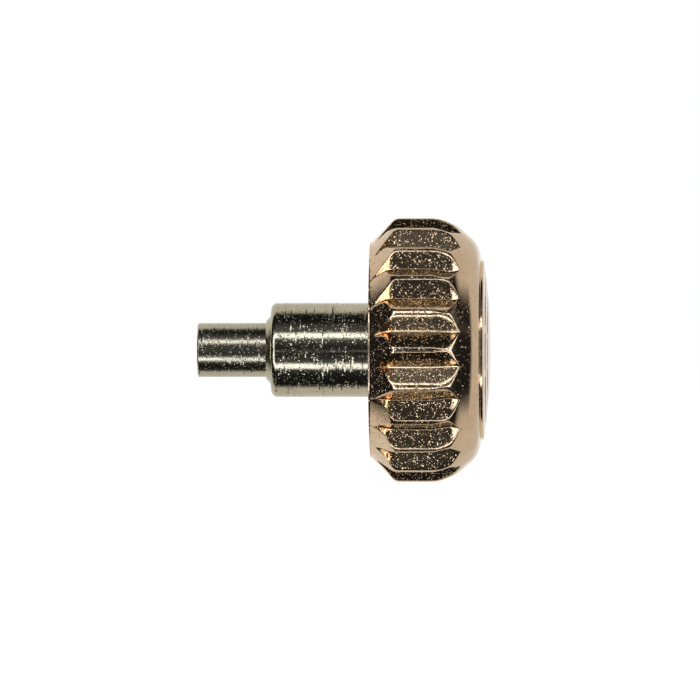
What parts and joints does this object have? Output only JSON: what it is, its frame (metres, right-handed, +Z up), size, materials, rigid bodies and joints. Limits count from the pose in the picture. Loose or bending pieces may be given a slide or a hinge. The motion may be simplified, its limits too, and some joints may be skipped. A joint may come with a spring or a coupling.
{
  "type": "watch crown",
  "caption": "Fluted rose gold screw-down watch crown with a domed end, a threaded rear cavity, a steel stem sleeve and a sprung stem pipe.",
  "frame": {"origin": "on the crown's axis, in the plane of the cap's rear rim", "axes": "+X along the axis from the stem pipe to the dome, +Z up, as the crown lies in the picture"},
  "size_m": [0.0066, 0.006, 0.006],
  "materials": {
    "rose_gold": "machined rose gold, polished shoulder and dome, fine cutter marks in the flutes",
    "insert_steel": "turned stainless steel",
    "sleeve_steel": "polished stainless steel with turning marks and fine pits",
    "bush_steel": "fine turned steel",
    "pipe_steel": "polished stainless steel with fine scratches and pits",
    "spring_steel": "drawn spring wire",
    "gasket_rubber": "matt black sealing rubber"
  },
  "bodies": {
    "crown_head": {"crown_cap": "rose_gold", "thread_insert": "insert_steel", "stem_sleeve": "sleeve_steel", "guide_bush": "bush_steel", "return_spring": "spring_steel", "spring_seat": "insert_steel", "cavity_gasket": "gasket_rubber", "gasket_washer": "insert_steel"},
    "sliding_pipe": {"stem_pipe": "pipe_steel"}
  },
  "joints": [
    {"name": "pipe_slide", "type": "slide", "parent": "crown_head", "child": "sliding_pipe", "axis": [1, 0, 0], "range_m": [0, 0.0011], "stiffness_N_per_m": 1500, "springref_m": -0.0006, "deforming": ["return_spring"]}
  ]
}
